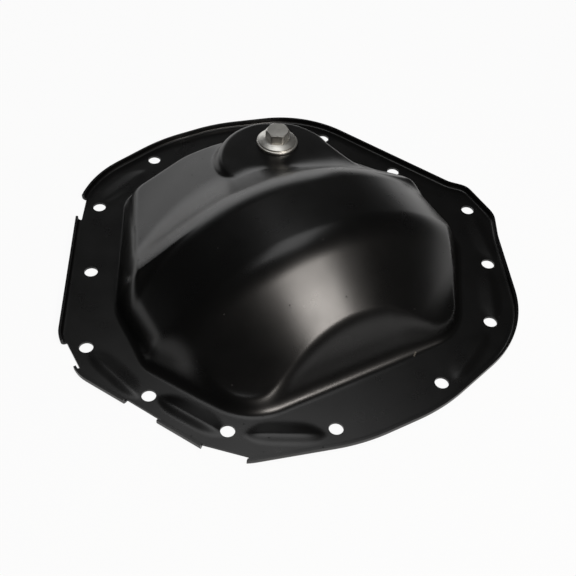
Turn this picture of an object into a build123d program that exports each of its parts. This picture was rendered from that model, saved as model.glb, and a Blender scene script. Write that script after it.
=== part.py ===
"""Pressed-steel differential cover, in millimetres.

The gasket face lies on Z = 0 and the dome rises along +Z. X runs along the axle line
towards the ring gear's side, Y up the bolt pattern, and the origin is the middle of the
bolt pattern, which mirrors about the XZ plane.
"""
import os
from math import cos, radians, sin

from build123d import *

os.makedirs("parts", exist_ok=True)

# Sheet and flange
sheet = 2.0                 # steel thickness
rim_height = 6.5            # top of the turned-up rim above the gasket face
rim_bend = 2.0              # inside radius of the rim's bend
rim_notch_depth = 4.5       # how far a notch is cut in from the rim's outer face
bolt_hole = 11.0            # clearance hole diameter
bolt_places = [             # upper half of the pattern, mirrored below
    (167.1, 47.3),
    (133.4, 119.2),
    (78.9, 157.4),
    (15.2, 181.9),
    (-58.6, 149.2),
    (-129.0, 114.0),
    (-167.5, 44.8),
]

# Outer face of the rim: corner and the radius that rounds it, anticlockwise
rim_corners = [
    ((186.0, -40.0), 180),
    ((186.0, 40.0), 180),
    ((158.0, 129.0), 44),
    ((62.0, 178.0), 60),
    ((34.0, 197.0), 24),
    ((-8.0, 197.0), 14),
    ((-20.0, 186.5), 14),
    ((-149.0, 126.0), 40),
    ((-186.0, 34.0), 150),
    ((-186.0, -34.0), 150),
    ((-149.0, -123.5), 40),
    ((0.0, -197.0), 30),
    ((36.0, -197.0), 30),
    ((158.0, -129.0), 44),
]
# Sockets clear the rim at these bolts: middle of the notch, its length and its heading
rim_notches = [
    ((18.0, -197.0), 28.0, 0.0),
    ((91.0, -169.5), 31.0, 28.0),
    ((151.0, -131.0), 35.0, 46.0),
    ((-134.0, -131.0), 27.0, -30.0),
]

# Beads between neighbouring bolts: middle and heading, mirrored below
bead_places = [
    ((156.0, 83.5), 113.0),
    ((109.5, 138.0), 145.5),
    ((50.0, 173.0), 161.0),
    ((-145.0, 84.0), 65.0),
]
bead_length = 52.0
bead_width = 13.0
bead_rise = 2.2
bead_lean = 55.0            # of its flanks, off vertical

# Foot of the dome's wall on the flange's top face, anticlockwise
foot_corners = [
    ((130.5, -99.3), 42),
    ((130.5, 87.5), 41),
    ((47.5, 146.0), 30),
    ((-6.0, 146.0), 30),
    ((-124.0, 80.0), 45),
    ((-146.0, 30.0), 60),
    ((-146.0, -30.0), 60),
    ((-127.4, -88.7), 28),
    ((-8.2, -147.0), 60),
    ((53.2, -147.0), 25),
]
wall_lean = 22.0            # off vertical
toe_height = 12.0           # least height of the wall, where the barrel runs low in a corner
foot_bend = 4.0             # outer radius between flange and wall

# Barrel over the ring gear, a body of revolution about the axle
axle_depth = 91.0           # axle line below the gasket face
crest_height = 89.0
barrel_radius = crest_height + axle_depth
barrel_back = -5.0          # shoulder on the back of the ring gear
barrel_front = 62.0         # shoulder on the pinion's side
back_slope = 0.955          # fall of the radius along X on either side
front_slope = 0.857
back_shoulder = 40.0        # radii of the two shoulders
front_shoulder = 32.0

# Shelf towards the plug: two flat sides that meet in a soft ridge over the axle line
shelf_end_x = -5.0
shelf_drop = 26.6           # its end below the crest
shelf_fall_x = 0.26         # fall per millimetre away from the barrel
shelf_fall_y = 0.195        # and away from the ridge
shelf_tuck = 2.0            # fall under the barrel's flank
ridge_radius = 60.0
crease_radius = 24.0        # soft valley between the shelf and the barrel's flank

# Boss for the fill plug, opening towards the barrel
boss_middle = (-90.0, 35.5)
boss_radius = 41.0
boss_mouth = (0.0, 42.0)
boss_mouth_radius = 47.0
boss_drop = 43.0            # its top below the crest
boss_top = crest_height - boss_drop
boss_lean = 35.0
boss_centre = (-94.5, 42.6)

# Fill plug, washer and welded nut, all on the boss's axis
plug_hole = 20.0
plug_thread = 18.0
plug_shank = 14.0           # below the flange
plug_tip_chamfer = 1.2
plug_hex = 18.0             # across flats
plug_hex_height = 8.5
plug_hex_turn = 30.0
plug_flange = 33.0
plug_flange_rim = 1.4
plug_cone = 22.0            # diameter and height of the low cone under the hex
plug_cone_height = 1.8
washer_diameter = 36.0
washer_bore = 18.6
washer_thickness = 2.6
washer_edge = 0.6
nut_diameter = 32.0
nut_height = 9.0
nut_chamfer = 1.0


def rounded(corners):
    """Face inside the corners, each rounded by its own radius."""
    points = [point for point, _ in corners]
    radii = [radius for _, radius in corners]
    with BuildSketch() as outline:
        with BuildLine():
            FilletPolyline(*points, radius=radii, close=True)
        make_face()
    return outline.sketch


def lean_shift(inset, lean):
    """How far a leaning wall's foot moves in when its face is set in and its base is lowered by inset."""
    return inset * (1 - sin(radians(lean))) / cos(radians(lean))


def barrel_form(inset):
    """Body of revolution about the axle, set in all round by inset."""
    axis_z = -axle_depth
    with BuildPart() as barrel:
        with BuildSketch(Plane.XZ) as section:
            with BuildLine():
                Polyline(
                    (barrel_back - barrel_radius / back_slope, axis_z),
                    (barrel_back, crest_height),
                    (barrel_front, crest_height),
                    (barrel_front + barrel_radius / front_slope, axis_z),
                    close=True,
                )
            make_face()
            back, front = section.vertices().group_by(Axis.Y)[-1].sort_by(Axis.X)
            fillet(back, radius=back_shoulder)
            fillet(front, radius=front_shoulder)
            if inset:
                offset(amount=-inset)
        revolve(axis=Axis((0, 0, axis_z), (1, 0, 0)))
    return barrel.part


def shelf_form(inset):
    """Two sloping slabs that meet in a soft ridge over the axle line, set in by inset."""
    far_x = rim_corners[0][0][0]
    shelf_end_z = crest_height - shelf_drop
    tuck_x = shelf_end_x + shelf_end_z / shelf_tuck
    with BuildPart() as shelf:
        with BuildSketch(Plane.XZ):
            with BuildLine():
                Polyline(
                    (-far_x, -axle_depth),
                    (-far_x, shelf_end_z - shelf_fall_x * (far_x + shelf_end_x)),
                    (shelf_end_x, shelf_end_z),
                    (tuck_x, 0),
                    (tuck_x, -axle_depth),
                    close=True,
                )
            make_face()
            if inset:
                offset(amount=-inset, kind=Kind.INTERSECTION)
        extrude(amount=barrel_radius, dir=(0, -1, -shelf_fall_y))
        mirror(about=Plane.XZ)
        ridges = shelf.edges().filter_by_position(Axis.Y, 0, 0).sort_by(Axis.Z)[-2:]
        fillet(ridges, radius=ridge_radius)
    return shelf.part


def boss_form(inset):
    """Boss round the plug with a leaning skirt, set in by inset."""
    with BuildPart() as boss:
        with BuildSketch(Plane.XY.offset(boss_top - inset)):
            with Locations(boss_middle):
                Circle(boss_radius - lean_shift(inset, boss_lean))
            with Locations(boss_mouth):
                Circle(boss_mouth_radius - lean_shift(inset, boss_lean))
            make_hull()
        extrude(amount=-boss_top, taper=-boss_lean)
    return boss.part


def dome_form(inset):
    """Dome up to the face that lies inset below its outer skin."""
    with BuildPart() as form:
        add(barrel_form(inset))
        add(shelf_form(inset))
        creases = form.edges().filter_by(lambda edge: edge.geom_type in (GeomType.HYPERBOLA, GeomType.BSPLINE))
        creases = creases.filter_by(lambda edge: edge.center().Z > toe_height and edge.center().X < 2 * shelf_end_x)
        fillet(creases, radius=crease_radius - inset)
        add(boss_form(inset))
        with BuildSketch():
            add(rounded(foot_corners))
        extrude(amount=toe_height - inset)
        with BuildSketch(Plane.XY.offset(0 if inset else sheet)):
            add(rounded(foot_corners))
            if inset:
                offset(amount=-lean_shift(inset, wall_lean))
        extrude(amount=crest_height, taper=wall_lean, mode=Mode.INTERSECT)
    return form.part


def bead_form(base, width, length):
    """Lozenges with leaning flanks on the flange, one for each bead."""
    with BuildPart() as beads:
        with BuildSketch(Plane.XY.offset(base)):
            for (x, y), heading in bead_places:
                with Locations(Location((x, y), heading), Location((x, -y), -heading)):
                    SlotOverall(length, width)
        extrude(amount=bead_rise, taper=bead_lean)
    return beads.part


outer_form = dome_form(0)
inner_form = dome_form(sheet)
rim_outline = rounded(rim_corners)

with BuildPart() as cover_shell:
    with BuildSketch():
        add(rim_outline)
    extrude(amount=rim_height)
    outer_edge = cover_shell.faces().sort_by(Axis.Z)[0].outer_wire().edges()
    fillet(outer_edge, radius=rim_bend + sheet)
    with BuildSketch(Plane.XY.offset(sheet)):
        add(rim_outline)
        offset(amount=-sheet)
    extrude(amount=rim_height, mode=Mode.SUBTRACT)
    add(outer_form)
    flange_top = cover_shell.faces().filter_by_position(Axis.Z, sheet, sheet)[0]
    fillet(flange_top.inner_wires()[0].edges(), radius=foot_bend)
    add(inner_form, mode=Mode.SUBTRACT)
    gasket_face = cover_shell.faces().sort_by(Axis.Z)[0]
    fillet(gasket_face.inner_wires()[0].edges(), radius=foot_bend + sheet)
    add(bead_form(sheet, bead_width, bead_length))
    bead_shift = 2 * lean_shift(sheet, bead_lean)
    add(bead_form(0, bead_width - bead_shift, bead_length - bead_shift), mode=Mode.SUBTRACT)
    for middle, length, heading in rim_notches:
        with BuildSketch():
            with Locations(Location(middle, heading)):
                Rectangle(length, 2 * rim_notch_depth)
        extrude(amount=rim_height, mode=Mode.SUBTRACT)
    with BuildSketch():
        for x, y in bolt_places:
            with Locations((x, y), (x, -y)):
                Circle(bolt_hole / 2)
    extrude(amount=rim_height, mode=Mode.SUBTRACT)
    with BuildSketch():
        with Locations(boss_centre):
            Circle(plug_hole / 2)
    extrude(amount=boss_top, mode=Mode.SUBTRACT)
cover_shell.part.label = "cover_shell"

with BuildPart() as weld_nut:
    with BuildSketch(Plane.XY.offset(boss_top - sheet)):
        with Locations(boss_centre):
            Circle(nut_diameter / 2)
            Circle(plug_thread / 2, mode=Mode.SUBTRACT)
    extrude(amount=-nut_height)
    chamfer(weld_nut.edges().group_by(Axis.Z)[0], length=nut_chamfer)
weld_nut.part.label = "weld_nut"

with BuildPart() as seal_washer:
    with BuildSketch(Plane.XY.offset(boss_top)):
        with Locations(boss_centre):
            Circle(washer_diameter / 2)
            Circle(washer_bore / 2, mode=Mode.SUBTRACT)
    extrude(amount=washer_thickness)
    chamfer(seal_washer.edges().filter_by(GeomType.CIRCLE).sort_by(SortBy.RADIUS)[-2:], length=washer_edge)
seal_washer.part.label = "seal_washer"

plug_seat = boss_top + washer_thickness
with BuildPart() as fill_plug:
    with BuildSketch(Plane.XY.offset(plug_seat)):
        with Locations(boss_centre):
            Circle(plug_thread / 2)
    extrude(amount=-plug_shank)
    chamfer(fill_plug.edges().group_by(Axis.Z)[0], length=plug_tip_chamfer)
    with BuildSketch(Plane.XY.offset(plug_seat)):
        with Locations(boss_centre):
            Circle(plug_flange / 2)
    extrude(amount=plug_flange_rim)
    with Locations((*boss_centre, plug_seat + plug_flange_rim)):
        Cone(plug_flange / 2, plug_cone / 2, plug_cone_height, align=(Align.CENTER, Align.CENTER, Align.MIN))
    with BuildSketch(Plane.XY.offset(plug_seat + plug_flange_rim)):
        with Locations(boss_centre):
            RegularPolygon(plug_hex / 2, 6, major_radius=False, rotation=plug_hex_turn)
    extrude(amount=plug_cone_height + plug_hex_height)
fill_plug.part.label = "fill_plug"

export_step(cover_shell.part, "parts/cover_shell.step")
export_step(weld_nut.part, "parts/weld_nut.step")
export_step(seal_washer.part, "parts/seal_washer.step")
export_step(fill_plug.part, "parts/fill_plug.step")
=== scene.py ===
"""Differential cover: pressed steel under a black electrocoat, with a zinc-plated fill plug."""
import math

import bmesh
import bpy
import numpy as np
from mathutils import Matrix, Vector


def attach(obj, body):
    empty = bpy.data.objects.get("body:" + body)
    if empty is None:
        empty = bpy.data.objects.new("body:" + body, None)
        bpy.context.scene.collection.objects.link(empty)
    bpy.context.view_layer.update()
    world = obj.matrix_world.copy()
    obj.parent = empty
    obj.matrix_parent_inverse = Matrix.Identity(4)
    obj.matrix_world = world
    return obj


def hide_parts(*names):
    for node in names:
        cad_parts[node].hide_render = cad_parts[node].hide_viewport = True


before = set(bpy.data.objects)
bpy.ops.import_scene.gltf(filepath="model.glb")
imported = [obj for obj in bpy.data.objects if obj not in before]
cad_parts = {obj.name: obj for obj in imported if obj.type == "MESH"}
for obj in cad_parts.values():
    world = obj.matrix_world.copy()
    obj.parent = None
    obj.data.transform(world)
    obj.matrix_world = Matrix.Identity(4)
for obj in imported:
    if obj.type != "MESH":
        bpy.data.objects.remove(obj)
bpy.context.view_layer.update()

MM = 0.001

# Sizes of the object are in millimetres and angles in degrees, in the part's own frame. Rim outline, beads, wall,
# barrel's back and boss were refined against the photo and differ from those in the part's source.

# Sheet and flange
SHEET = 2.0
RIM_HEIGHT = 6.5
RIM_BEND = 2.0              # inside radius
BOLT_HOLE = 11.0
BOLTS = [                   # mirrored about y = 0
    (167.1, 47.3), (133.4, 119.2), (78.9, 157.4), (15.2, 181.9),
    (-58.6, 149.2), (-129.0, 114.0), (-167.5, 44.8),
]
RIM_CORNERS = [             # outer face: corner and the radius that rounds it, anticlockwise
    ((188.8, -36.0), 160), ((188.8, 34.0), 160), ((159.0, 137.2), 100), ((58.0, 183.0), 60),
    ((34.0, 197.0), 24), ((-8.0, 197.0), 14), ((-20.5, 185.4), 14), ((-164.5, 114.6), 90),
    ((-187.5, 27.0), 150), ((-187.5, -30.0), 150), ((-164.0, -117.0), 90), ((-2.5, -198.2), 30),
    ((40.0, -198.2), 30), ((162.6, -131.0), 44),
]
NOTCHES = [                 # middle, length and heading
    ((18.0, -198.0), 28.0, 0.0), ((91.0, -169.5), 31.0, 28.0),
    ((151.0, -131.0), 35.0, 46.0), ((-134.0, -131.0), 27.0, -30.0),
]
NOTCH_DEPTH = 4.5           # inwards from the middle
NOTCH_REACH = 13.5          # outwards, far enough to clear the rim wherever it runs
THROUGH_FLANGE = (-5, 12)   # lowest and highest z of the prisms that cut the flange, and of the one in the boss
THROUGH_BOSS = (20, 60)

# Beads: place and heading, mirrored about y = 0, then the rise on the -Y side and that on the +Y side
BEADS = [
    ((156.0, 83.5), 118.0, 1.9, 0.9), ((109.5, 138.0), 150.0, 1.9, 0.9), ((50.0, 173.0), 163.0, 1.2, 0.9),
    ((-145.0, 84.0), 65.0, 0.8, 0.8),
]
BEAD_LENGTH = 57.0
BEAD_WIDTHS = (9.5, 6.0)    # of the inner and the outer slope
BEAD_RIDGE = 1.2            # rounding of the ridge
BEAD_FOOT = 0.25            # rounding of the foot, as a share of the rise

# Wall of the dome: its foot line, anticlockwise. Pairs are the values at both ends of the stretch named below them.
FOOT_CORNERS = [
    ((130.5, -99.3), 42), ((130.5, 87.5), 41), ((47.5, 146.0), 30), ((-6.0, 146.0), 30),
    ((-124.0, 80.0), 45), ((-146.0, 30.0), 60), ((-146.0, -30.0), 60), ((-127.4, -88.7), 28),
    ((-8.2, -147.0), 60), ((53.2, -147.0), 25),
]
WALL_LEAN = (15.0, 22.0)    # off vertical
WALL_LEAN_X = (-70, 0)
CORNER_LEAN = 8.0           # the wall stands steeper by this in the +X/+Y corner
CORNER_XY = (30, 90)
FOOT_BLEND = (9.0, 18.0)
FOOT_BLEND_X = (20, 100)
BROW_BLEND = (24.0, 7.0)
BROW_BLEND_X = (-60, -10)
BROW_FADE = 25.0            # width over which the brow goes from the boss's blend to the wall's
BROW_FADE_INSIDE = 0.4      # share of that width inside the boss's edge
TOE_HEIGHT = 8.0            # least height of the dome, where the barrel runs low in a corner
TOE_BLEND = 20.0

# Barrel about the axle: (x, radius) of its profile and the blend at each corner
AXLE_DEPTH = 91.0
BARREL = [(-227.0, -25.3), (-12.0, 180.0), (62.0, 180.0), (150.0, 104.6)]
BARREL_BLENDS = [0, 18, 12, 0]

# Shelf towards the plug
SHELF_END_X = -5.0
SHELF_END_Z = 62.4
SHELF_FALL = (0.26, 0.195)  # per millimetre along X away from the barrel, and along Y away from the ridge
SHELF_TUCK = 2.0            # fall under the barrel's flank
RIDGE_BLEND = 12.0
CREASE_BLEND = 22.0         # valley between the shelf and the barrel's flank

# Boss for the fill plug, opening towards the barrel
BOSS_MIDDLE = (-78.2, 33.8)
BOSS_RADIUS = 50.5
BOSS_MOUTH = (0.0, 47.0)
BOSS_MOUTH_RADIUS = 53.0
BOSS_TOP = 46.0
BOSS_LEAN = 24.0
BOSS_BLEND = 9.0
BOSS_CREASE = (3.0, 14.0)   # valley round the skirt, wider on the +Y side, where it would fold sharply
BOSS_CREASE_Y = (35, 75)

# Rows of the skin's grid
SKIN_TURNS = 470
INNER_ROWS = 58
WALL_ROWS = 42
WALL_START = 0.74           # share of the way to the dome's edge at which the rows get closer
DOME_MARGIN = 6.0           # the dome's rows end this far outside the foot line
FLANGE_ROWS = 25
BEND_ROWS = 5
RIM_ROWS = BEND_ROWS + 2    # the bend's, the flange's last and the rim's edge, all kept on the underside

# Fill plug, washer and welded nut, on one axis
PLUG_PLACE = (-94.5, 42.6)
PLUG_HOLE = 20.0
WASHER = 2.6
SEAT = BOSS_TOP + WASHER
THREAD_RADIUS = 9.0
THREAD_PITCH = 1.5
THREAD_DEPTH = 0.9
THREAD_ROWS = 64
TIP_CHAMFER = 1.4
SHANK = 14.0
CONE_TOP = SEAT + 3.2
HEX_TOP = CONE_TOP + 8.5
HEX_FLATS = 18.6            # across flats
HEX_TURN = 30.0
HEX_CORNER = 10.55          # radius that dulls the corners
HEX_FACE = 9.25             # radius of the round face on top
HEX_BEVEL = 30.0
NUT_HEIGHT = 9
NUT_CHAMFER = 1
NUT_TOP = BOSS_TOP - SHEET
NUT_FOOT = NUT_TOP - NUT_HEIGHT
PLUG_FLANGE = [             # (radius, z): neck, seat, rounded rim, then the low cone up to the hexagon
    (8.0, SEAT - 1.2), (8.0, SEAT), (16.0, SEAT), (16.35, SEAT + 0.15), (16.5, SEAT + 0.5), (16.5, SEAT + 0.9),
    (16.35, SEAT + 1.25), (15.9, SEAT + 1.5), (12.2, CONE_TOP - 0.55), (11.4, CONE_TOP - 0.25), (10.9, CONE_TOP),
]
WASHER_PROFILE = [
    (9.3, BOSS_TOP), (17.4, BOSS_TOP), (17.8, BOSS_TOP + 0.2), (18.0, BOSS_TOP + 0.6), (18.0, SEAT - 0.6),
    (17.8, SEAT - 0.2), (17.4, SEAT), (9.3, SEAT), (9.3, BOSS_TOP),
]
NUT_PROFILE = [
    (9.0, NUT_FOOT), (15.0, NUT_FOOT), (16.0, NUT_FOOT + NUT_CHAMFER), (16.0, NUT_TOP), (9.0, NUT_TOP),
    (9.0, NUT_FOOT),
]
TURN = np.linspace(0, 2 * np.pi, 96, endpoint=False)


def rounded_outline(corners, spacing, arc_steps=16):
    """Closed polyline through the corners, each replaced by an arc tangent to both sides, resampled evenly."""
    points = []
    for k, (corner, radius) in enumerate(corners):
        here = np.array(corner, float)
        back = np.array(corners[k - 1][0], float) - here
        ahead = np.array(corners[(k + 1) % len(corners)][0], float) - here
        back /= np.linalg.norm(back)
        ahead /= np.linalg.norm(ahead)
        half = np.arccos(np.clip(back @ ahead, -1, 1)) / 2
        middle = here + (back + ahead) / np.linalg.norm(back + ahead) * radius / np.sin(half)
        start = here + back * radius / np.tan(half) - middle
        end = here + ahead * radius / np.tan(half) - middle
        turn = (np.arctan2(end[1], end[0]) - np.arctan2(start[1], start[0]) + np.pi) % (2 * np.pi) - np.pi
        angle = np.arctan2(start[1], start[0]) + turn * np.linspace(0, 1, arc_steps)
        points.append(middle + radius * np.stack([np.cos(angle), np.sin(angle)], -1))
    points = np.concatenate(points)
    loop = np.vstack([points, points[:1]])
    run = np.concatenate([[0], np.cumsum(np.linalg.norm(np.diff(loop, axis=0), axis=1))])
    s = np.linspace(0, run[-1], int(run[-1] / spacing), endpoint=False)
    return np.stack([np.interp(s, run, loop[:, 0]), np.interp(s, run, loop[:, 1])], -1)


FOOT = rounded_outline(FOOT_CORNERS, 2.0)
RIM = rounded_outline(RIM_CORNERS, 1.0)


def ray_radius(outline, theta):
    """Distance from the origin to the outline along each angle theta."""
    angle = np.arctan2(outline[:, 1], outline[:, 0])
    order = np.argsort(angle)
    radius = np.linalg.norm(outline, axis=1)[order]
    return np.interp(theta, angle[order], radius, period=2 * np.pi)


def depth_inside(x, y, outline):
    """Distance of each point from the outline, positive inside it."""
    best = np.full(x.shape, 1e9)
    for (ax, ay), (bx, by) in zip(outline, np.roll(outline, -1, 0)):
        ex, ey = bx - ax, by - ay
        t = np.clip(((x - ax) * ex + (y - ay) * ey) / (ex * ex + ey * ey), 0, 1)
        best = np.minimum(best, (x - ax - t * ex) ** 2 + (y - ay - t * ey) ** 2)
    inside = np.hypot(x, y) < ray_radius(outline, np.arctan2(y, x))
    return np.where(inside, 1, -1) * np.sqrt(best)


def blend_up(a, b, size):
    """max(a, b) with a rounded valley: + size/4 * (1 - |a - b| / size)^2 where that is positive."""
    h = np.clip((size - np.abs(a - b)) / size, 0, 1)
    return np.maximum(a, b) + h * h * size / 4


def blend_down(a, b, size):
    """min(a, b) with a rounded ridge of the same form."""
    return -blend_up(-a, -b, size)


def rounded_profile(x, corners, blends):
    """Polyline through the corners, each corner a parabola over its own blend on either side."""
    xs = np.array([c[0] for c in corners])
    zs = np.array([c[1] for c in corners])
    value = np.interp(x, xs, zs)
    slopes = np.diff(zs) / np.diff(xs)
    for k in range(1, len(corners) - 1):
        t = np.clip((blends[k] - np.abs(x - xs[k])) / blends[k], 0, 1)
        value = value + (slopes[k] - slopes[k - 1]) * blends[k] / 4 * t * t
    return value


def bead_height(x, y):
    """Pressed beads: rise * max(0, 1 - (2 u / length)^4 - |v| / width), with ridge and foot rounded.

    u runs along the bead and v across it, outwards; the inner slope is the wider and flatter one.
    """
    z = np.zeros(x.shape)
    for (bx, by), heading, near, far in BEADS:
        for side, rise in ((1, far), (-1, near)):
            c, s = math.cos(math.radians(side * heading)), math.sin(math.radians(side * heading))
            u = (x - bx) * c + (y - side * by) * s
            v = side * ((x - bx) * s - (y - side * by) * c)
            across = (np.hypot(v, BEAD_RIDGE) - BEAD_RIDGE) / np.where(v < 0, *BEAD_WIDTHS)
            form = 1 - (2 * u / BEAD_LENGTH) ** 4 - across
            z += rise * blend_up(form, np.zeros(x.shape), BEAD_FOOT) * (np.abs(u) < BEAD_LENGTH)
    return z


def dome_height(x, y):
    """Height of the outer skin: the lower of the leaning wall and the pressed forms, above flange and beads.

    Barrel: z = sqrt(R(x)^2 - y^2) - axle depth. Shelf: two planes that meet at y = 0. Boss: a skirt that falls at
    its own lean outside a circle that widens towards the barrel. Toe: a least height. Wall: z = sheet + depth
    inside the foot line / tan(lean). The wall's lean and the blends at foot, brow and boss change across the dome.
    """
    reach = rounded_profile(x, BARREL, BARREL_BLENDS)
    barrel = np.sqrt(np.maximum(reach ** 2 - y ** 2, 1.0)) - AXLE_DEPTH
    past = x - SHELF_END_X
    ridge = np.sqrt(y ** 2 + RIDGE_BLEND ** 2) - RIDGE_BLEND
    shelf = SHELF_END_Z + np.where(past < 0, SHELF_FALL[0], -SHELF_TUCK) * past - SHELF_FALL[1] * ridge
    top = blend_up(barrel, shelf, CREASE_BLEND)
    reach_x = BOSS_MOUTH[0] - BOSS_MIDDLE[0]
    t = np.clip((x - BOSS_MIDDLE[0]) / reach_x, 0, 1)
    line_y = BOSS_MIDDLE[1] + t * (BOSS_MOUTH[1] - BOSS_MIDDLE[1])
    radius = BOSS_RADIUS + t * (BOSS_MOUTH_RADIUS - BOSS_RADIUS)
    gap = np.hypot(x - BOSS_MIDDLE[0] - t * reach_x, y - line_y) - radius
    skirt = BOSS_TOP - gap / math.tan(math.radians(BOSS_LEAN))
    boss = blend_down(skirt, np.full_like(x, BOSS_TOP), BOSS_BLEND)
    top = blend_up(top, boss, np.interp(y, BOSS_CREASE_Y, BOSS_CREASE))
    top = blend_up(top, np.full_like(x, TOE_HEIGHT), TOE_BLEND)
    corner = np.interp(x, CORNER_XY, (0, CORNER_LEAN)) * np.interp(y, CORNER_XY, (0, 1))
    lean = np.interp(x, WALL_LEAN_X, WALL_LEAN) - corner
    wall = SHEET + depth_inside(x, y, FOOT) / np.tan(np.radians(lean))
    brow = np.interp(x, BROW_BLEND_X, BROW_BLEND)
    brow = BOSS_BLEND + (brow - BOSS_BLEND) * np.clip(gap / BROW_FADE + BROW_FADE_INSIDE, 0, 1)
    z = blend_down(wall, top, brow)
    foot = np.interp(x, FOOT_BLEND_X, FOOT_BLEND)
    return blend_up(z, np.full_like(z, SHEET), foot) + bead_height(x, y)


def grid_piece(name, points):
    """Piece from points [u, v, 3] that closes round u; the first and last v rows may be single poles."""
    nu, nv = points.shape[:2]
    index = np.arange(nu * nv).reshape(nu, nv)
    ahead = np.roll(index, -1, 0)
    faces = np.stack([index[:, :-1], ahead[:, :-1], ahead[:, 1:], index[:, 1:]], -1).reshape(-1, 4)
    mesh = bpy.data.meshes.new(name)
    mesh.from_pydata((points.reshape(-1, 3) * MM).tolist(), [], faces.tolist())
    piece = bpy.data.objects.new(name, mesh)
    bpy.context.scene.collection.objects.link(piece)
    bm = bmesh.new()
    bm.from_mesh(mesh)
    bmesh.ops.remove_doubles(bm, verts=bm.verts, dist=1e-6)
    bmesh.ops.dissolve_degenerate(bm, dist=1e-6, edges=bm.edges)
    bmesh.ops.recalc_face_normals(bm, faces=bm.faces)
    bm.to_mesh(mesh)
    bm.free()
    return piece


def finish_piece(piece, node, surface, sharp):
    """Smooth shading with edges sharper than the given angle kept, material, and the node it stands for."""
    piece.data.shade_smooth()
    piece.data.set_sharp_from_angle(angle=math.radians(sharp))
    piece.data.materials.clear()
    piece.data.materials.append(surface)
    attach(piece, "root")
    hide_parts(node)


def skin_top():
    """Top side of the sheet as [angle, row, 3]: rays over the dome, wall and flange, then up the rim's bend."""
    theta = np.linspace(-np.pi, np.pi, SKIN_TURNS, endpoint=False)
    heading = np.stack([np.cos(theta), np.sin(theta)], -1)
    rim = heading * ray_radius(RIM, theta)[:, None]
    along = np.roll(rim, -1, 0) - np.roll(rim, 1, 0)
    outward = np.stack([along[:, 1], -along[:, 0]], -1)
    outward /= np.linalg.norm(outward, axis=1)[:, None]
    bend_centre = rim - outward * (SHEET + RIM_BEND)
    foot = heading * (ray_radius(FOOT, theta) + DOME_MARGIN)[:, None]
    inner = np.linspace(0, WALL_START, INNER_ROWS, endpoint=False)
    s = np.concatenate([inner, np.linspace(WALL_START, 1, WALL_ROWS)])
    dome = foot[:, None] * s[None, :, None]
    t = np.linspace(0, 1, FLANGE_ROWS + 1)[1:]
    flange = foot[:, None] + (bend_centre - foot)[:, None] * t[None, :, None]
    flat = np.concatenate([dome, flange], 1)
    z = dome_height(flat[..., 0], flat[..., 1])
    top = np.concatenate([flat, z[..., None]], -1)
    angle = np.linspace(0, np.pi / 2, BEND_ROWS + 1)[1:]
    bend_xy = bend_centre[:, None] + outward[:, None] * (RIM_BEND * np.sin(angle))[None, :, None]
    bend_z = np.broadcast_to((SHEET + RIM_BEND * (1 - np.cos(angle)))[None, :, None], bend_xy.shape[:2] + (1,))
    edge_xy = (rim - outward * SHEET)[:, None]
    edge = np.concatenate([edge_xy, np.full(edge_xy.shape[:2] + (1,), RIM_HEIGHT)], -1)
    return np.concatenate([top, np.concatenate([bend_xy, bend_z], -1), edge], 1), outward


def make_skin():
    """Both sides of the sheet: underside = top - normal * sheet, with every second row up to the rim's bend."""
    top, outward = skin_top()
    du = np.roll(top, -1, 0) - np.roll(top, 1, 0)
    normal = np.cross(du, np.gradient(top, axis=1))
    normal[:, 0] = (0, 0, 1)
    normal /= np.linalg.norm(normal, axis=-1, keepdims=True)
    normal *= np.where(normal[:, 5:6, 2:] < 0, -1, 1)
    normal[:, 0] = (0, 0, 1)
    normal[:, -1] = np.concatenate([-outward, np.zeros((len(outward), 1))], -1)
    last = top.shape[1]
    rows = np.append(np.arange(0, last - RIM_ROWS, 2), np.arange(last - RIM_ROWS, last))
    under = (top - normal * SHEET)[:, rows]
    return grid_piece("cover_skin", np.concatenate([top, under[:, ::-1]], 1))


def make_cutter():
    """Prisms for the bolt holes, the plug's hole and the rim's notches."""
    a = np.linspace(0, 2 * np.pi, 64, endpoint=False)
    circle = np.stack([np.cos(a), np.sin(a)], -1)
    bolts = [np.array([x, side * y]) for x, y in BOLTS for side in (1, -1)]
    prisms = [(bolt + circle * BOLT_HOLE / 2, *THROUGH_FLANGE) for bolt in bolts]
    prisms.append((np.array(PLUG_PLACE) + circle * PLUG_HOLE / 2, *THROUGH_BOSS))
    for middle, length, heading in NOTCHES:
        c, s = math.cos(math.radians(heading)), math.sin(math.radians(heading))
        box = np.array([
            [-length / 2, -NOTCH_REACH], [length / 2, -NOTCH_REACH], [length / 2, NOTCH_DEPTH],
            [-length / 2, NOTCH_DEPTH],
        ])
        prisms.append((box @ np.array([[c, s], [-s, c]]) + np.array(middle), *THROUGH_FLANGE))
    verts = []
    faces = []
    for ring, low, high in prisms:
        n = len(ring)
        base = len(verts)
        verts += [(px * MM, py * MM, low * MM) for px, py in ring]
        verts += [(px * MM, py * MM, high * MM) for px, py in ring]
        faces.append([base + k for k in range(n)][::-1])
        faces.append([base + n + k for k in range(n)])
        faces += [[base + k, base + (k + 1) % n, base + n + (k + 1) % n, base + n + k] for k in range(n)]
    mesh = bpy.data.meshes.new("cutter")
    mesh.from_pydata(verts, [], faces)
    piece = bpy.data.objects.new("cutter", mesh)
    bpy.context.scene.collection.objects.link(piece)
    return piece


def turned(name, rows):
    """Piece from rows of (radius, z) round the plug's axis; either may change with the angle TURN."""
    rows = np.array([[np.broadcast_to(value, TURN.shape) for value in row] for row in rows], float)
    x = PLUG_PLACE[0] + rows[:, 0] * np.cos(TURN)
    y = PLUG_PLACE[1] + rows[:, 0] * np.sin(TURN)
    return grid_piece(name, np.stack([x, y, rows[:, 1]], -1).transpose(1, 0, 2))


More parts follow.
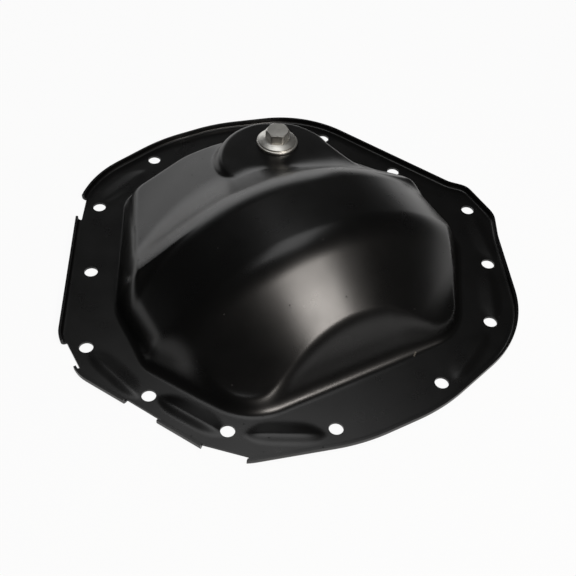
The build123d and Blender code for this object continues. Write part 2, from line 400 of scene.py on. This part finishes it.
def plug_rows():
    """Shank with a helical thread r = R - depth * |2 f - 1|, f = z / pitch - angle / 2 pi; flange; hex head.

    The head's radius is (flats / 2) / cos(angle to the nearest flat); a cone at the bevel's angle takes its corners
    off, and its top is very slightly dished.
    """
    low = SEAT - SHANK
    tip = THREAD_RADIUS - TIP_CHAMFER
    rows = [(0, low), (tip, low)]
    for z in np.linspace(low + 0.6, SEAT - 1.5, THREAD_ROWS):
        f = (z / THREAD_PITCH - TURN / (2 * np.pi)) % 1
        r = THREAD_RADIUS - THREAD_DEPTH * np.abs(2 * f - 1)
        rows.append((np.minimum(r, tip + (z - low)), z))
    rows += PLUG_FLANGE
    to_flat = (TURN - math.radians(HEX_TURN) + np.pi / 6) % (np.pi / 3) - np.pi / 6
    head = np.minimum(HEX_FLATS / 2 / np.cos(to_flat), HEX_CORNER)
    brow = HEX_TOP - (head - HEX_FACE) * math.tan(math.radians(HEX_BEVEL))
    rows += [(head, CONE_TOP), (head, CONE_TOP + 0.3 * (brow - CONE_TOP)), (head, brow)]
    rows += [(HEX_FACE, HEX_TOP), (HEX_FACE - 0.8, HEX_TOP), (6.6, HEX_TOP - 0.25), (0, HEX_TOP - 0.3)]
    return rows


def srgb(code):
    """Linear colour of a hex sRGB code."""
    value = [int(code[k:k + 2], 16) / 255 for k in (1, 3, 5)]
    return [v / 12.92 if v <= 0.04045 else ((v + 0.055) / 1.055) ** 2.4 for v in value] + [1.0]


def node(tree, kind, sockets=(), **settings):
    """New node: settings are its properties, and each socket takes a plain value or the output linked to it."""
    made = tree.nodes.new(kind)
    for key, value in settings.items():
        setattr(made, key, value)
    for socket, value in dict(sockets).items():
        if isinstance(value, bpy.types.NodeSocket):
            tree.links.new(value, made.inputs[socket])
        else:
            made.inputs[socket].default_value = value
    return made


def material(name, colour, metallic, roughness):
    """Named material with its shader's plain values set."""
    made = bpy.data.materials.new(name)
    made.use_nodes = True
    shader = made.node_tree.nodes["Principled BSDF"]
    shader.inputs["Base Color"].default_value = srgb(colour)
    shader.inputs["Metallic"].default_value = metallic
    shader.inputs["Roughness"].default_value = roughness
    return made, made.node_tree, shader


RANGE = ("Value", "From Min", "From Max", "To Min", "To Max")   # sockets of a Map Range node
MIX_A, MIX_B, MIX_RESULT = 6, 7, 2                              # a Mix node's colours, in and out

# Black electrocoat on pressed steel: a dense, slightly soft black that mirrors only pale things, with a fine
# orange peel, a slow wave left by the press, and a few dull specks, drawn as shallow pits, that break the highlight.
# Widths, heights and depths are in millimetres; the peel is drawn as coarse as it needs to show.
NOISE_RANGE = (0.3, 0.7)    # part of a noise's values that is used
COAT_ROUGHNESS = (0.27, 0.305)
PEEL_SIZE, PEEL_HEIGHT = 1.6, 0.004
WAVE_SIZE, WAVE_HEIGHT = 38, 0.1
HAZE_SIZE = 22
SPECK_CELL, SPECK_DEPTH = 9, 0.05
SPECK_EDGE = (0.05, 0.085)  # where a speck ends, as shares of its cell
SPECK_CHANCE = 0.72         # cells whose random number is above this have a speck
SPECK_ROUGHNESS = 0.4       # added to the coat's
SCRATCH_PLACE = (133.5, 45.0, 2.5)
SCRATCH_SPOTS = [           # offset along the scratch, radius of the full spot, radius at which it has faded
    (0, 0.7, 1.2), (-2.2, 0.4, 0.9), (-1.1, 0.4, 0.9), (1.1, 0.4, 0.9), (2.2, 0.4, 0.9),
]
coat, tree, shader = material("black_electrocoat", "#090909", 0.0, 0.3)
shader.inputs["IOR"].default_value = 1.5
coords = node(tree, "ShaderNodeTexCoord").outputs["Object"]
scratch = 0.0
for offset, full, faded in SCRATCH_SPOTS:
    place = [v * MM for v in (SCRATCH_PLACE[0] + offset, SCRATCH_PLACE[1] - offset, SCRATCH_PLACE[2])]
    away = node(tree, "ShaderNodeVectorMath", {0: coords, 1: place}, operation="DISTANCE").outputs["Value"]
    spot = node(tree, "ShaderNodeMapRange", zip(RANGE, (away, full * MM, faded * MM, 1, 0))).outputs["Result"]
    scratch = node(tree, "ShaderNodeMath", {0: scratch, 1: spot}, operation="MAXIMUM").outputs["Value"]
peel, wave, haze = [
    node(tree, "ShaderNodeTexNoise", {"Vector": coords, "Scale": 1 / (size * MM), "Detail": detail}).outputs["Fac"]
    for size, detail in ((PEEL_SIZE, 2), (WAVE_SIZE, 1), (HAZE_SIZE, 2))
]
cells = node(tree, "ShaderNodeTexVoronoi", {"Vector": coords, "Scale": 1 / (SPECK_CELL * MM)})
away = cells.outputs["Distance"]
speck = node(tree, "ShaderNodeMapRange", zip(RANGE, (away, *SPECK_EDGE, 1, 0))).outputs["Result"]
chance = node(tree, "ShaderNodeSeparateColor", {"Color": cells.outputs["Color"]}).outputs["Red"]
chance = node(tree, "ShaderNodeMath", {0: chance, 1: SPECK_CHANCE}, operation="GREATER_THAN").outputs["Value"]
speck = node(tree, "ShaderNodeMath", {0: speck, 1: chance}, operation="MULTIPLY").outputs["Value"]
rough = node(tree, "ShaderNodeMapRange", zip(RANGE, (haze, *NOISE_RANGE, *COAT_ROUGHNESS))).outputs["Result"]
dull = node(tree, "ShaderNodeMath", {0: speck, 1: SPECK_ROUGHNESS}, operation="MULTIPLY").outputs["Value"]
rough = node(tree, "ShaderNodeMath", {0: rough, 1: dull}, operation="ADD").outputs["Value"]
tint = node(tree, "ShaderNodeMix", {0: scratch, MIX_A: srgb("#090909"), MIX_B: srgb("#6a665f")}, data_type="RGBA")
peel, wave, pit = [
    node(tree, "ShaderNodeMath", {0: form, 1: size}, operation="MULTIPLY").outputs["Value"]
    for form, size in ((peel, PEEL_HEIGHT), (wave, WAVE_HEIGHT), (speck, SPECK_DEPTH))
]
height = node(tree, "ShaderNodeMath", {0: peel, 1: wave}, operation="ADD").outputs["Value"]
height = node(tree, "ShaderNodeMath", {0: height, 1: pit}, operation="SUBTRACT").outputs["Value"]
bump = node(tree, "ShaderNodeBump", {"Height": height, "Distance": MM, "Strength": 1.0})
tree.links.new(tint.outputs[MIX_RESULT], shader.inputs["Base Color"])
tree.links.new(rough, shader.inputs["Roughness"])
tree.links.new(bump.outputs["Normal"], shader.inputs["Normal"])

# Zinc plate on the turned plug: a cool silver with a faint yellow cast, a fine grain and duller patches.
ZINC_ROUGHNESS = (0.34, 0.44)
CLOUD_SIZE = 4
GRAIN_SIZE, GRAIN_HEIGHT = 0.5, 0.004
zinc, tree, shader = material("zinc_plated_steel", "#c4c3bf", 1.0, 0.28)
coords = node(tree, "ShaderNodeTexCoord").outputs["Object"]
cloud, grain = [
    node(tree, "ShaderNodeTexNoise", {"Vector": coords, "Scale": 1 / (size * MM), "Detail": detail}).outputs["Fac"]
    for size, detail in ((CLOUD_SIZE, 4), (GRAIN_SIZE, 3))
]
rough = node(tree, "ShaderNodeMapRange", zip(RANGE, (cloud, *NOISE_RANGE, *ZINC_ROUGHNESS))).outputs["Result"]
tint = node(tree, "ShaderNodeMix", {0: cloud, MIX_A: srgb("#e4e3df"), MIX_B: srgb("#d3d1c9")}, data_type="RGBA")
bump = node(tree, "ShaderNodeBump", {"Height": grain, "Distance": GRAIN_HEIGHT * MM})
tree.links.new(tint.outputs[MIX_RESULT], shader.inputs["Base Color"])
tree.links.new(rough, shader.inputs["Roughness"])
tree.links.new(bump.outputs["Normal"], shader.inputs["Normal"])

skin = make_skin()
cutter = make_cutter()
cut = skin.modifiers.new("holes", "BOOLEAN")
cut.operation = "DIFFERENCE"
cut.object = cutter
cut.solver = "EXACT"
graph = bpy.context.evaluated_depsgraph_get()
cut_mesh = bpy.data.meshes.new_from_object(skin.evaluated_get(graph))
skin.modifiers.clear()
skin.data = cut_mesh
bpy.data.objects.remove(cutter)
finish_piece(skin, "cover_shell", coat, 38)
finish_piece(turned("plug_turned", plug_rows()), "fill_plug", zinc, 24)
finish_piece(turned("washer_turned", WASHER_PROFILE), "seal_washer", zinc, 40)
finish_piece(turned("nut_turned", NUT_PROFILE), "weld_nut", coat, 30)

# Camera solved from the bolt holes, in metres
CAMERA_PLACE = (0.5009, -0.3113, 0.60185)
FORWARD = (-0.5757, 0.3657, -0.7314)
UP = (-0.6603, 0.3198, 0.6796)
FOCUS_PIXELS = 993.2
PHOTO_PIXELS = 576
camera_data = bpy.data.cameras.new("camera")
camera_data.sensor_width = 36.0
camera_data.lens = FOCUS_PIXELS / PHOTO_PIXELS * camera_data.sensor_width
camera = bpy.data.objects.new("camera", camera_data)
bpy.context.scene.collection.objects.link(camera)
forward = Vector(FORWARD).normalized()
right = forward.cross(Vector(UP)).normalized()
axes = Matrix((right, right.cross(forward), -forward)).transposed()
camera.matrix_world = Matrix.Translation(CAMERA_PLACE) @ axes.to_4x4()
bpy.context.scene.camera = camera

# Floor: pale paper that the camera sees near white and mirrored views see half as bright, still shaded by the cover
CAMERA_GLOW = 0.94
GLOSSY_GLOW = 0.5
FLOOR_REACH = 4             # metres to each side
paper, tree, shader = material("white_paper", "#f4f4f4", 0.0, 0.9)
rays = node(tree, "ShaderNodeLightPath")
seen, mirrored = [
    node(tree, "ShaderNodeMath", {0: rays.outputs[ray], 1: share}, operation="MULTIPLY").outputs["Value"]
    for ray, share in (("Is Camera Ray", CAMERA_GLOW), ("Is Glossy Ray", GLOSSY_GLOW))
]
share = node(tree, "ShaderNodeMath", {0: seen, 1: mirrored}, operation="MAXIMUM").outputs["Value"]
glow = node(tree, "ShaderNodeEmission", {"Strength": 1.0}).outputs["Emission"]
mixed = node(tree, "ShaderNodeMixShader", {0: share, 1: shader.outputs["BSDF"], 2: glow})
tree.links.new(mixed.outputs["Shader"], tree.nodes["Material Output"].inputs["Surface"])
floor_mesh = bpy.data.meshes.new("floor")
floor_corners = [(i * FLOOR_REACH, j * FLOOR_REACH, 0) for i, j in ((-1, -1), (1, -1), (1, 1), (-1, 1))]
floor_mesh.from_pydata(floor_corners, [], [(0, 1, 2, 3)])
floor = bpy.data.objects.new("floor", floor_mesh)
bpy.context.scene.collection.objects.link(floor)
floor_mesh.materials.append(paper)


def lamp(name, place, target, size, power, colour="#ffffff"):
    """Softbox of the given size in metres that looks at the target."""
    data = bpy.data.lights.new(name, "AREA")
    data.shape = "RECTANGLE"
    data.size, data.size_y = size
    data.energy = power
    data.color = srgb(colour)[:3]
    made = bpy.data.objects.new(name, data)
    made.location = place
    made.rotation_euler = (Vector(target) - Vector(place)).to_track_quat("-Z", "Y").to_euler()
    bpy.context.scene.collection.objects.link(made)


lamp("key_softbox", (1.1, 0.18, 0.99), (0.095, -0.035, 0.055), (0.6, 0.28), 11.5, "#fff8f1")
lamp("low_card", (-1.6, 0.33, 0.39), (-0.05, 0, 0.25), (1.6, 0.76), 4.4)
lamp("overhead_softbox", (-0.3, 0.14, 1.52), (-0.02, 0, 0), (0.7, 1.0), 4.2)

# World: white for the camera, and a faint fill for everything else
WORLD_FILL = 0.03
world = bpy.data.worlds.new("world")
bpy.context.scene.world = world
world.use_nodes = True
tree = world.node_tree
backdrop = tree.nodes["Background"]
backdrop.inputs["Color"].default_value = (1, 1, 1, 1)
seen = node(tree, "ShaderNodeLightPath").outputs["Is Camera Ray"]
strength = node(tree, "ShaderNodeMapRange", zip(RANGE, (seen, 0, 1, WORLD_FILL, 1))).outputs["Result"]
tree.links.new(strength, backdrop.inputs["Strength"])
bpy.context.scene.view_settings.view_transform = "Standard"
